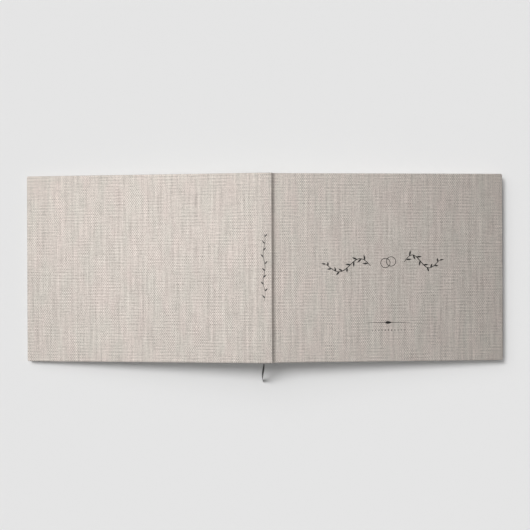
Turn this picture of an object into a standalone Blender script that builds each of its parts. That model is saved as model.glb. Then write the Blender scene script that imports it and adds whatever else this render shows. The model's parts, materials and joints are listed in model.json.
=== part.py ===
"""A cloth-covered guest book in landscape format, lying open and face down like a low tent.

Metres, +Z up. +X points to the front cover, +Y to the head of the book, z = 0 is the table.
The book is drawn closed, with its spine up, in the plane (u, w): u runs from the middle of the
spine towards the cover, w is the height above the spine's outer face. Each half is then turned
out about its own hinges, which are empties, until its lowest page corner meets the table.
"""

import math

import bmesh
import bpy
from mathutils import Matrix, Vector

MM = 0.001

# The case
COVER_HEIGHT = 210.0 * MM  # head to tail, over the cloth
BOARD_WIDTH = 254.0 * MM  # from the joint to the fore-edge
BOARD = 2.4 * MM
SPINE_BOARD = 2.0 * MM
SPINE_WIDTH = 17.0 * MM
JOINT = 9.0 * MM  # flat width of the cloth hinge beside the spine
CLOTH = 0.35 * MM
TURN_IN = 15.0 * MM  # cloth folded over to the inside
GLUE = 0.15 * MM  # between pieces glued face to face
ENDPAPER = 0.2 * MM
PASTEDOWN_INSET = 2.5 * MM

# The text block
PAGE_WIDTH = 254.0 * MM
PAGE_HEIGHT = 203.0 * MM
SECTION = 0.92 * MM  # one folded section, pressed
FOLD_TOP = -4.35 * MM  # backs of the folds, below the spine's outer face
FOLD_BASE = -7.8 * MM
PAGES_TOP = -8.3 * MM  # where the sections start to swing
FOLD_ARC_STEPS = 6

# The pose
SPINE_TOP = 39.0 * MM
PAGE_DRAW = 8.8 * MM  # how far the pages draw in under the cover as the book opens

# The spine's linings, as heights of their upper faces
LINING_TOP = -3.15 * MM
MULL_TOP = -3.5 * MM
TAPE_TOP = -3.85 * MM
LINING_HALF = 4.7 * MM
MULL_SHORT = 3.5 * MM  # the mull stops this far from each end of the pages
TAPE = 0.3 * MM
TAPE_HALF = 6.0 * MM
TAPE_REACH = 3.9 * MM
TAPE_PITCH = 58.0 * MM
KETTLE_Y = 92.0 * MM
THREAD_RADIUS = 0.2 * MM
BAND_RADIUS = 0.75 * MM
BAND_HEIGHT = -5.0 * MM

# The ribbon
RIBBON_WIDTH = 3.0 * MM
RIBBON = 0.3 * MM
RIBBON_U = -0.53 * MM

BOARD_HALF = COVER_HEIGHT / 2 - CLOTH - GLUE
PAGE_HALF = PAGE_HEIGHT / 2
SPINE_HALF = SPINE_WIDTH / 2
CLOTH_INNER = SPINE_HALF - CLOTH
BOARD_OUTER = CLOTH_INNER - GLUE
BOARD_INNER = BOARD_OUTER - BOARD
TURN_OUTER = BOARD_INNER - GLUE
TURN_INNER = TURN_OUTER - CLOTH
PASTE_OUTER = TURN_INNER - GLUE
PASTE_INNER = PASTE_OUTER - ENDPAPER
FLY_OUTER = PASTE_INNER - GLUE
FLY_INNER = FLY_OUTER - ENDPAPER
STACK_OUTER = FLY_INNER - GLUE
PITCH = SECTION + GLUE
PAGES_END = FOLD_TOP - PAGE_WIDTH
BOARD_END = -JOINT - BOARD_WIDTH

# Each half: its name, the way it points, the cover's spine-side corner when the book lies open,
# how many sections it holds, and how far those fan apart
HALVES = (
    ("front", 1, Vector((15.0, -6.0)) * MM, 4, math.radians(1.0)),
    ("back", -1, Vector((16.9, -2.0)) * MM, 3, math.radians(0.3)),
)


# ---------------------------------------------------------------- the hinges of one half


def turned(point, pivot, angle):
    """A point of the (u, w) plane, turned counter-clockwise about a pivot."""
    return pivot + Matrix.Rotation(angle, 2) @ (point - pivot)


def cover_pivot(corner, angle):
    """The point about which the cover's corner turns from its closed to its open place."""
    closed = Vector((SPINE_HALF, -JOINT))
    chord = corner - closed
    return (corner + closed) / 2 + Vector((-chord.y, chord.x)) / (2 * math.tan(angle / 2))


def page_pivot(pivot, angle, slope):
    """The pages' own pivot, which draws them in under the cover, parallel to it."""
    draw = Vector((-math.cos(slope), math.sin(slope))) * PAGE_DRAW
    return pivot + Matrix.Rotation(math.pi / 2 - angle / 2, 2) @ draw / (2 * math.sin(angle / 2))


def hinges(corner, fan, slope):
    """The opening angle and the two pivots of a half whose cover lies at this slope."""
    angle = math.pi / 2 - fan - slope
    cover = cover_pivot(corner, angle)
    return angle, cover, page_pivot(cover, angle, slope)


def stack_inner(count):
    """Where the innermost face of a stack of this many sections lies."""
    return STACK_OUTER - count * PITCH + GLUE


def resting_slope(corner, count, fan):
    """The slope at which the lowest corner of the pages just meets the table."""
    low, high = math.radians(2), math.radians(12)
    for _ in range(50):
        slope = (low + high) / 2
        angle, _, pivot = hinges(corner, fan, slope)
        edge = turned(Vector((stack_inner(count), PAGES_END)), pivot, angle)
        if edge.y + SPINE_TOP > 0:
            low = slope
        else:
            high = slope
    return slope


def reach(corner, slope):
    """How far the cover's fore-edge lies from the middle of the spine."""
    return corner.x + (BOARD_WIDTH + GLUE + CLOTH) * math.cos(slope)


SLOPES = {name: resting_slope(corner, count, fan) for name, _, corner, count, fan in HALVES}
REACHES = {name: reach(corner, SLOPES[name]) for name, _, corner, _, _ in HALVES}
SPINE_X = (REACHES["back"] - REACHES["front"]) / 2


# ---------------------------------------------------------------- making solids


def material(name, colour, roughness):
    shade = bpy.data.materials.new(name)
    shade.use_nodes = True
    shader = shade.node_tree.nodes["Principled BSDF"]
    shader.inputs["Base Color"].default_value = (*colour, 1)
    shader.inputs["Roughness"].default_value = roughness
    shader.inputs["Metallic"].default_value = 0
    return shade


def hinge_empty(name, place, parent, turn):
    """An empty on a hinge axis, which turns its pieces from closed to open."""
    empty = bpy.data.objects.new(name, None)
    bpy.context.scene.collection.objects.link(empty)
    empty.parent = parent
    empty.location = place
    empty.rotation_euler.y = turn
    return empty


def solid(name, bm, shade, parent):
    """A mesh object from bmesh data that is drawn relative to its parent empty."""
    bmesh.ops.recalc_face_normals(bm, faces=bm.faces)
    mesh = bpy.data.meshes.new(name)
    bm.to_mesh(mesh)
    bm.free()
    mesh.materials.append(shade)
    piece = bpy.data.objects.new(name, mesh)
    piece.parent = parent
    bpy.context.scene.collection.objects.link(piece)
    return piece


def prism(bm, outline, low, high):
    """Adds a closed prism whose outline lies in the (x, z) plane, from y = low to high."""
    near = [bm.verts.new((x, low, z)) for x, z in outline]
    far = [bm.verts.new((x, high, z)) for x, z in outline]
    bm.faces.new(near)
    bm.faces.new(far[::-1])
    for i in range(len(outline)):
        j = (i + 1) % len(outline)
        bm.faces.new((near[i], far[i], far[j], near[j]))


def slab_outline(side, u, w, origin, tilt=0.0):
    """A rectangle of the closed section, tilted about its inner upper corner, seen from origin."""
    pivot = Vector((u[0], w[1]))
    corners = [Vector((u[0], w[0])), Vector((u[1], w[0])), Vector((u[1], w[1])), pivot]
    placed = [turned(corner, pivot, tilt) - origin for corner in corners]
    return [(side * p.x, p.y) for p in placed]


def slab(name, side, u, w, half, origin, shade, parent, tilt=0.0):
    """One flat sheet or board: u and w are its (low, high) in the section, half its half-length."""
    bm = bmesh.new()
    prism(bm, slab_outline(side, u, w, origin, tilt), -half, half)
    return solid(name, bm, shade, parent)


def cut(piece, cutter):
    """Takes a hidden cutter out of a piece."""
    cutter.hide_render = True
    cutter.display_type = "WIRE"
    hole = piece.modifiers.new(cutter.name, "BOOLEAN")
    hole.operation = "DIFFERENCE"
    hole.solver = "EXACT"
    hole.object = cutter


def rod(bm, centre, radius, half, sides):
    """Adds a round rod along x."""
    turn = Matrix.Translation(centre) @ Matrix.Rotation(math.pi / 2, 4, "Y")
    bmesh.ops.create_cone(
        bm, cap_ends=True, segments=sides, radius1=radius, radius2=radius, depth=2 * half, matrix=turn
    )


# ---------------------------------------------------------------- the cover of one half


def cover_cloth(name, side, origin, shade, parent):
    """The cloth over one board, wrapped round three edges and turned in."""
    end = BOARD_END - GLUE - CLOTH
    cloth = slab(
        f"{name}_cover_cloth", side, (TURN_INNER, SPINE_HALF), (end, -JOINT), COVER_HEIGHT / 2,
        origin, shade, parent,
    )
    past = -JOINT + TURN_IN
    pocket = slab(
        f"{name}_board_pocket", side, (TURN_OUTER, CLOTH_INNER), (BOARD_END - GLUE, past),
        BOARD_HALF + GLUE, origin, shade, parent,
    )
    window = slab(
        f"{name}_turn_in_window", side, (PASTE_INNER, BOARD_INNER), (BOARD_END + TURN_IN, past),
        BOARD_HALF - TURN_IN, origin, shade, parent,
    )
    cut(cloth, pocket)
    cut(cloth, window)


def cover(name, side, fan, pivot, joint_empty, shades):
    """The board, its cloth and its pastedown, which lift together about the board's edge."""
    corner = Vector((SPINE_HALF, -JOINT))
    offset = corner - pivot
    empty = hinge_empty(f"{name}_cover_axis", (side * offset.x, 0, offset.y), joint_empty, -side * fan)
    slab(
        f"{name}_board", side, (BOARD_INNER, BOARD_OUTER), (BOARD_END, -JOINT), BOARD_HALF,
        corner, shades["board"], empty,
    )
    cover_cloth(name, side, corner, shades["cloth"], empty)
    slab(
        f"{name}_pastedown", side, (PASTE_INNER, PASTE_OUTER),
        (BOARD_END + PASTEDOWN_INSET, -JOINT - GLUE), BOARD_HALF - PASTEDOWN_INSET,
        corner, shades["paper"], empty,
    )


def joint_cloth(name, side, angle, pivot, shades):
    """The strip of cloth at the bottom of the groove beside the spine, and the cover it carries."""
    place = (SPINE_X + side * pivot.x, 0, SPINE_TOP + pivot.y)
    empty = hinge_empty(f"{name}_joint_axis", place, None, -side * angle)
    slab(
        f"{name}_joint_cloth", side, (CLOTH_INNER, SPINE_HALF), (-JOINT + 2 * GLUE, -JOINT / 2),
        COVER_HEIGHT / 2, pivot, shades["cloth"], empty,
    )
    return empty


# ---------------------------------------------------------------- the pages of one half


def pages(name, side, count, fan, angle, pivot, shades):
    """The sections and the flyleaf, which fan apart a little towards the fore-edge."""
    place = (SPINE_X + side * pivot.x, 0, SPINE_TOP + pivot.y)
    empty = hinge_empty(f"{name}_pages_axis", place, None, -side * angle)
    for k in range(count):
        inner = stack_inner(count) + k * PITCH
        slab(
            f"{name}_section_{k + 1}", side, (inner, inner + SECTION), (PAGES_END, PAGES_TOP),
            PAGE_HALF, pivot, shades["pages"], empty, fan * k / count,
        )
    slab(
        f"{name}_flyleaf", side, (FLY_INNER, FLY_OUTER), (PAGES_END, PAGES_TOP), PAGE_HALF,
        pivot, shades["paper"], empty, fan,
    )


def half_book(name, side, corner, count, fan, shades):
    angle, pivot, inner_pivot = hinges(corner, fan, SLOPES[name])
    cover(name, side, fan, pivot, joint_cloth(name, side, angle, pivot, shades), shades)
    pages(name, side, count, fan, angle, inner_pivot, shades)


# ---------------------------------------------------------------- the spine


def spine_case(shades, parent):
    """The spine's board and its cloth, turned in at head and tail."""
    half = BOARD_OUTER
    top = -CLOTH - GLUE
    bottom = top - SPINE_BOARD
    centre = Vector((0, 0))
    slab("spine_board", 1, (-half, half), (bottom, top), BOARD_HALF, centre, shades["board"], parent)
    cloth = slab(
        "spine_cloth", 1, (-SPINE_HALF, SPINE_HALF), (bottom - GLUE - CLOTH, 0), COVER_HEIGHT / 2,
        centre, shades["cloth"], parent,
    )
    past = SPINE_HALF + TURN_IN
    pocket = slab(
        "spine_pocket", 1, (-past, past), (bottom - GLUE, -CLOTH), BOARD_HALF + GLUE,
        centre, shades["cloth"], parent,
    )
    window = slab(
        "spine_window", 1, (-past, past), (bottom - 2 * (GLUE + CLOTH), bottom), BOARD_HALF - TURN_IN,
        centre, shades["cloth"], parent,
    )
    cut(cloth, pocket)
    cut(cloth, window)


def fold_outline(left):
    """One folded back: a strip with a half-round top."""
    radius = SECTION / 2
    outline = [(left + SECTION, FOLD_BASE), (left, FOLD_BASE)]
    for i in range(FOLD_ARC_STEPS + 1):
        around = math.pi * (1 - i / FOLD_ARC_STEPS)
        outline.append(
            (left + radius + radius * math.cos(around), FOLD_TOP - radius + radius * math.sin(around))
        )
    return outline


def section_folds(shades, parent):
    """The folded backs of the sections, which stay at the spine as the pages swing."""
    for name, side, _, count, _ in HALVES:
        for k in range(count):
            inner = stack_inner(count) + k * PITCH
            bm = bmesh.new()
            prism(bm, fold_outline(inner if side > 0 else -inner - SECTION), -PAGE_HALF, PAGE_HALF)
            solid(f"{name}_fold_{k + 1}", bm, shades["pages"], parent)


def linings(shades, parent):
    """What is glued across the folds: paper lining, mull, three tapes and the sewing."""
    centre = Vector((0, 0))
    across = (-LINING_HALF, LINING_HALF)
    slab(
        "spine_lining", 1, across, (LINING_TOP - ENDPAPER, LINING_TOP), PAGE_HALF - GLUE,
        centre, shades["lining"], parent,
    )
    slab(
        "mull", 1, across, (MULL_TOP - ENDPAPER, MULL_TOP), PAGE_HALF - MULL_SHORT,
        centre, shades["mull"], parent,
    )
    outline = slab_outline(1, (-TAPE_REACH, TAPE_REACH), (TAPE_TOP - TAPE, TAPE_TOP), centre)
    for k in (-1, 0, 1):
        bm = bmesh.new()
        prism(bm, outline, k * TAPE_PITCH - TAPE_HALF, k * TAPE_PITCH + TAPE_HALF)
        solid(f"sewing_tape_{k + 2}", bm, shades["mull"], parent)


def sewing(shades, parent):
    """Thread over the backs of the folds: beside each tape, and a kettle stitch at each end."""
    beside = TAPE_HALF + 2 * THREAD_RADIUS
    rows = [-KETTLE_Y]
    rows += [k * TAPE_PITCH + s * beside for k in (-1, 0, 1) for s in (-1, 1)]
    rows.append(KETTLE_Y)
    curve = bpy.data.curves.new("sewing_thread", "CURVE")
    curve.dimensions = "3D"
    curve.bevel_depth = THREAD_RADIUS
    curve.bevel_resolution = 2
    curve.use_fill_caps = True
    spline = curve.splines.new("POLY")
    spline.points.add(2 * len(rows) - 1)
    for i, point in enumerate(spline.points):
        at_right = (i + 1) % 4 > 1
        x = STACK_OUTER if at_right else -STACK_OUTER
        point.co = (x, rows[i // 2], TAPE_TOP - THREAD_RADIUS, 1)
    curve.materials.append(shades["thread"])
    piece = bpy.data.objects.new("sewing_thread", curve)
    piece.parent = parent
    bpy.context.scene.collection.objects.link(piece)


def end_band(name, y, shades, parent):
    """A headband or tailband: a woven roll at the end of the folds."""
    bm = bmesh.new()
    rod(bm, (0, y, BAND_HEIGHT), BAND_RADIUS, STACK_OUTER, 16)
    solid(name, bm, shades["thread"], parent)


# ---------------------------------------------------------------- the ribbon


def smooth(points, count):
    """Points read evenly from a Catmull-Rom curve through the given vectors."""
    padded = [2 * points[0] - points[1], *points, 2 * points[-1] - points[-2]]
    last = len(points) - 1
    out = []
    for i in range(count):
        at = last * i / (count - 1)
        k = min(int(at), last - 1)
        t = at - k
        a, b, c, d = padded[k : k + 4]
        out.append(
            (2 * b + (c - a) * t + (2 * a - 5 * b + 4 * c - d) * t**2 + (3 * b - a - 3 * c + d) * t**3) / 2
        )
    return out


def ribbon_piece(name, route, twists, count, shade, parent):
    """A flat ribbon along a route. A twist of 0 lays its width along x, and pi / 2 on edge."""
    path = smooth([Vector(p) * MM for p in route], count)
    turns = smooth([Vector((t, 0, 0)) for t in twists], count)
    bm = bmesh.new()
    rings = []
    for i in range(count):
        along = (path[min(i + 1, count - 1)] - path[max(i - 1, 0)]).normalized()
        flat = Vector((1, 0, 0))
        flat = (flat - along * flat.dot(along)).normalized()
        wide = Matrix.Rotation(turns[i].x, 3, along) @ flat
        thick = along.cross(wide) * RIBBON / 2
        wide = wide * RIBBON_WIDTH / 2
        corners = (wide + thick, wide - thick, -wide - thick, -wide + thick)
        rings.append([bm.verts.new(path[i] + c) for c in corners])
    for a, b in zip(rings, rings[1:]):
        for j in range(4):
            k = (j + 1) % 4
            bm.faces.new((a[j], a[k], b[k], b[j]))
    bm.faces.new(rings[0])
    bm.faces.new(rings[-1][::-1])
    return solid(name, bm, shade, parent)


# Routes as (x, y, z) in millimetres from the middle of the spine's outer face
U = RIBBON_U / MM
HELD_ROUTE = (
    (U, 104.2, -3.9), (U, 104.2, -6.2), (U, 103.6, -8.6), (U, 100.0, -10.2),
    (U, 92.0, -10.4), (U, 40.0, -10.4), (U, -40.0, -10.4), (U, -105.8, -10.4),
)
HELD_TWISTS = (0.0, 0.2, 0.9, 1.45, math.pi / 2, math.pi / 2, math.pi / 2, math.pi / 2)
TAIL_ROUTE = (
    (U, -106.1, -10.4), (-0.8, -109.0, -10.8), (-1.4, -113.5, -13.2), (-2.2, -118.3, -18.6),
    (-2.6, -122.5, -25.6), (-2.6, -125.9, -32.6), (-2.3, -129.0, -38.0),
)
TAIL_TWISTS = (math.pi / 2, 1.2, 1.0, 0.95, 0.9, 0.9, 0.95)


def ribbon(shades, parent):
    """The marker ribbon: over the head of the pages, down the gutter, and out at the tail."""
    ribbon_piece("ribbon", HELD_ROUTE, HELD_TWISTS, 40, shades["ribbon"], parent)
    ribbon_piece("ribbon_tail", TAIL_ROUTE, TAIL_TWISTS, 24, shades["ribbon"], parent)


# ---------------------------------------------------------------- the whole book


def main():
    for thing in list(bpy.data.objects):
        bpy.data.objects.remove(thing, do_unlink=True)
    shades = {
        "cloth": material("linen_cloth", (0.58, 0.53, 0.48), 0.9),
        "board": material("grey_board", (0.34, 0.32, 0.29), 0.9),
        "paper": material("endpaper", (0.82, 0.79, 0.73), 0.8),
        "pages": material("page_paper", (0.86, 0.84, 0.78), 0.8),
        "lining": material("kraft_lining", (0.42, 0.31, 0.20), 0.85),
        "mull": material("cotton_mull", (0.80, 0.78, 0.72), 0.95),
        "thread": material("linen_thread", (0.76, 0.71, 0.62), 0.8),
        "ribbon": material("black_ribbon", (0.012, 0.011, 0.012), 0.45),
    }
    spine = hinge_empty("spine", (SPINE_X, 0, SPINE_TOP), None, 0.0)
    spine_case(shades, spine)
    section_folds(shades, spine)
    linings(shades, spine)
    sewing(shades, spine)
    band_y = PAGE_HALF + GLUE + BAND_RADIUS
    end_band("headband", band_y, shades, spine)
    end_band("tailband", -band_y, shades, spine)
    ribbon(shades, spine)
    for name, side, corner, count, fan in HALVES:
        half_book(name, side, corner, count, fan, shades)


main()
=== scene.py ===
"""The looks of a linen-covered guest book that lies open and face down.

Metres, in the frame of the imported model: +X points to the front cover, +Y to the head of the
book, and z = 0 is the table. A section of the book is drawn in (u, w): u runs from the middle of
the spine towards a cover, and w is the height above the spine's outer face.
"""

import json
import math
import random

import bmesh
import bpy
from mathutils import Matrix, Vector
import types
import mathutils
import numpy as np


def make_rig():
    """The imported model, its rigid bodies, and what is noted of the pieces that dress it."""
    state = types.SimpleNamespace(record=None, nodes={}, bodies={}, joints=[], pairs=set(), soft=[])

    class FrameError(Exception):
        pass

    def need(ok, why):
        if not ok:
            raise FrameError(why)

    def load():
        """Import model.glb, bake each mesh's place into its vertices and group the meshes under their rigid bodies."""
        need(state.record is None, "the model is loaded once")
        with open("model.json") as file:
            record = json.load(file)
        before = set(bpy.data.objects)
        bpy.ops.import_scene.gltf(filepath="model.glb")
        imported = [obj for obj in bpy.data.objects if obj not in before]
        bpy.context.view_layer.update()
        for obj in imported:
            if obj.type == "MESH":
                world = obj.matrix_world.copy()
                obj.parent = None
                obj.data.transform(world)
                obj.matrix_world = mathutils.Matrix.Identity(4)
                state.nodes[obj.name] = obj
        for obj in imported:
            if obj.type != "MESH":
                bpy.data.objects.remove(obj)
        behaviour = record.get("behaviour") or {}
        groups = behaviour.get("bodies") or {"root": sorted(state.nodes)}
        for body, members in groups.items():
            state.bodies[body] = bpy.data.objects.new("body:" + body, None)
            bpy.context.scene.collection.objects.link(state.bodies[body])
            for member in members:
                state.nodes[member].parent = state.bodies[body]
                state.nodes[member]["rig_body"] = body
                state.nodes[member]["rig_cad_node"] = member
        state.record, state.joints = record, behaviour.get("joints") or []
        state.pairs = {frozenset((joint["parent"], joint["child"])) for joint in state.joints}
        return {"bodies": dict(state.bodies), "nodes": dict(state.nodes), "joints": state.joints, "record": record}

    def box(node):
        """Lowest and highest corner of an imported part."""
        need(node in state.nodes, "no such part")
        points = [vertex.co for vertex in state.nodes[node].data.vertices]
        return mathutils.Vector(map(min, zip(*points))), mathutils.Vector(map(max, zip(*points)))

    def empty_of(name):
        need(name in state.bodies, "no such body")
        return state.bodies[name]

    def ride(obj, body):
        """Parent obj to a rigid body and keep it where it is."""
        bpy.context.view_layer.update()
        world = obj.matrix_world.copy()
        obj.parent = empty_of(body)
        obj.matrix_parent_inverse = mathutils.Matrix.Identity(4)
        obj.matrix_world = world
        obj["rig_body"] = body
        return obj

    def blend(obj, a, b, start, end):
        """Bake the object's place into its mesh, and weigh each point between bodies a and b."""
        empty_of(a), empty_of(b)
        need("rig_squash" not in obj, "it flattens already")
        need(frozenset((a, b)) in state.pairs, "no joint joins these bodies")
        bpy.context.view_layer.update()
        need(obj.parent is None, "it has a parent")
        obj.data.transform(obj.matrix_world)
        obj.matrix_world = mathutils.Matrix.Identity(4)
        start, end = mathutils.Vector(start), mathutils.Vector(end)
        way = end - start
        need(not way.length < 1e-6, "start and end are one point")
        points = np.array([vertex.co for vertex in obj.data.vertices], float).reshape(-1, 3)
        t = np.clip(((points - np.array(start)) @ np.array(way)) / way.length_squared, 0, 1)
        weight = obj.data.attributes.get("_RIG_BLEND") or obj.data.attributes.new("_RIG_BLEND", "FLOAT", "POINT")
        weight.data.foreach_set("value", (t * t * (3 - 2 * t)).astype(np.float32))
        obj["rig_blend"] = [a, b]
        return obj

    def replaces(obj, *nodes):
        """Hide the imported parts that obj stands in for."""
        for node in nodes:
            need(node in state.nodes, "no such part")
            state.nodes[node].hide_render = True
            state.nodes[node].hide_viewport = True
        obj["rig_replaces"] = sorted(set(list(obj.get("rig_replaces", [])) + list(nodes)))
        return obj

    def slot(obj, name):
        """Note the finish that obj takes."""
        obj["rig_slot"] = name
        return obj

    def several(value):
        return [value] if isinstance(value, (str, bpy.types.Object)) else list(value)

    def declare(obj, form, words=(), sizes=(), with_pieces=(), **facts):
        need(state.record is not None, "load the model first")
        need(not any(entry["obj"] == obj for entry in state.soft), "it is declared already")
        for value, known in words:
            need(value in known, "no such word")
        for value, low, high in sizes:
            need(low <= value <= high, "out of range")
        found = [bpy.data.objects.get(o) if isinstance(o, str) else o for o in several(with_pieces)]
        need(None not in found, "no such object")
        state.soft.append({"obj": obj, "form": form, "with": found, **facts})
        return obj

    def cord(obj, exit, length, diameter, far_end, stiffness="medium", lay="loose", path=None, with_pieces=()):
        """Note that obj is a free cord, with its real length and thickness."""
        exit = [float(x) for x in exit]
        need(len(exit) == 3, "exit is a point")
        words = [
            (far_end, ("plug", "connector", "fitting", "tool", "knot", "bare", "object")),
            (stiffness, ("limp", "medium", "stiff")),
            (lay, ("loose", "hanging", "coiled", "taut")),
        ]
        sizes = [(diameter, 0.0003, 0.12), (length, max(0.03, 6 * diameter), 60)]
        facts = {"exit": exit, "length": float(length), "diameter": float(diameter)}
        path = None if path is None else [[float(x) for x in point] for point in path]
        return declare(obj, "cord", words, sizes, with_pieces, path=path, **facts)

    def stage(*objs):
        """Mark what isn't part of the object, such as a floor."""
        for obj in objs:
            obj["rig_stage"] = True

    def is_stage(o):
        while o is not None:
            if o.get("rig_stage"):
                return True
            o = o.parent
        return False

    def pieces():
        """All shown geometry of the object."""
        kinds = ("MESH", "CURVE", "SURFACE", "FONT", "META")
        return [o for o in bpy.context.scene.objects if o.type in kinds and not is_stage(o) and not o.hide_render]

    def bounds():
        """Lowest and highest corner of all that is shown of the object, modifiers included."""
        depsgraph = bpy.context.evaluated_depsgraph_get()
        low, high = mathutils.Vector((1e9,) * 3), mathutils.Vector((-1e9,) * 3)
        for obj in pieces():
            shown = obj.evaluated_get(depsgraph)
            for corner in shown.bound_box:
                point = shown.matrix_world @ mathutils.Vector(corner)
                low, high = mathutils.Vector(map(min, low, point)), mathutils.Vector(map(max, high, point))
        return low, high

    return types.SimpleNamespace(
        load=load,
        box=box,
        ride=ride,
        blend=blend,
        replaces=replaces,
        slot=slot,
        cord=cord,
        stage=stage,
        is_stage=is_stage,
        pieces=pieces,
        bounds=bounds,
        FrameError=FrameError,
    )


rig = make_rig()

MM = 0.001

# The book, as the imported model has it
COVER_HALF = 105.0 * MM
BOARD_WIDTH = 254.0 * MM
CLOTH_END = BOARD_WIDTH + 0.5 * MM
SPINE_DEPTH = 3.0 * MM  # cloth to cloth through the spine board
COVER_DEPTH = 3.4 * MM  # cloth to cloth through a cover board
JOINT_DEPTH = 1.0 * MM  # the doubled cloth at the ends of a groove
TURN_IN = 14.5 * MM
PAGE_HALF = 101.5 * MM
PAGES_END = -258.35 * MM
FOLD_BASE = -7.0 * MM
STACK_OUTER = 4.6 * MM
GUTTER = {"front": -0.03 * MM, "back": 1.04 * MM}  # innermost face of each stack when closed
FAN = {"front": math.radians(1.0), "back": math.radians(0.3)}

# Fine detail
CLOTH = 0.3 * MM
EDGE_RADIUS = 0.9 * MM
CORNER_RADIUS = 1.7 * MM
ARC_STEPS = 5
SEAM = 3.0 * MM  # where a cover's flat cloth starts, past the board's edge
SPINE_SEAM = 7.0 * MM
UPRIGHT = Vector((0, 1))
WELD = 1e-4 * MM  # points nearer to each other than this become one
GROOVE_STEPS = 24
EASED_EDGE = (0.5 * MM, 1.4 * MM)  # where the cloth turns from the groove onto the board
FLAT_STEPS = 12  # of the cloth between head and tail
SPINE_STEPS = 8
LEAVES = {"front": 20, "back": 15}
LEAF = 0.15 * MM
FORE_EDGE_PLAY = 0.5 * MM  # by how much the leaves' edges differ, at most
HEAD_PLAY = 0.25 * MM
LEAF_START = -36.0 * MM  # a leaf is flat from here on, and bends in the gutter before it
ROOT_STEPS = 20
ROOT_BEND = (Vector((2.0, -7.0)) * MM, Vector((13.5, -23.4)) * MM)  # where the roots' blend runs
TURN_STEPS = 2000
FOIL = 0.04 * MM

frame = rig.load()
cad_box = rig.bounds()
record = frame["record"]
joints = {j["name"]: j for j in record["behaviour"]["joints"]}
mounts = {m["name"]: m for m in record["mounts"]}
SPINE_X, _, SPINE_TOP = mounts["spine_face"]["pos_m"]


class Half:
    """Where one half of the book lies: its side, its hinges and its cover's plane."""

    def __init__(self, name, side):
        self.name = name
        self.side = side
        self.pages = self.section(joints[f"{name}_pages_close"]["pos_m"])
        self.corner = self.section(joints[f"{name}_cover_lift"]["pos_m"])
        self.angle = math.radians(joints[f"{name}_pages_close"]["range_deg"][1])
        normal = mounts[f"{name}_cover_face"]["axis"]
        self.normal = Vector((side * normal[0], normal[2]))
        self.along = Vector((self.normal.y, -self.normal.x))

    def section(self, point):
        """A point of the frame as a point of the section."""
        return Vector((self.side * (point[0] - SPINE_X), point[2] - SPINE_TOP))

    def place(self, point, y=0.0):
        """A point of the section as a point of the frame."""
        return Vector((SPINE_X + self.side * point.x, y, SPINE_TOP + point.y))

    def on_cover(self, along, y, depth):
        """A point this far along the cover from the board's edge, and this far under its face."""
        return self.place(self.corner + self.along * along - self.normal * depth, y)

    def opened(self, point, share=1.0):
        """A page point of the closed book, turned to where it lies now, or a share of the way."""
        return self.pages + Matrix.Rotation(share * self.angle, 2) @ (point - self.pages)


FRONT = Half("front", 1)
BACK = Half("back", -1)


# ---------------------------------------------------------------- node materials


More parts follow.
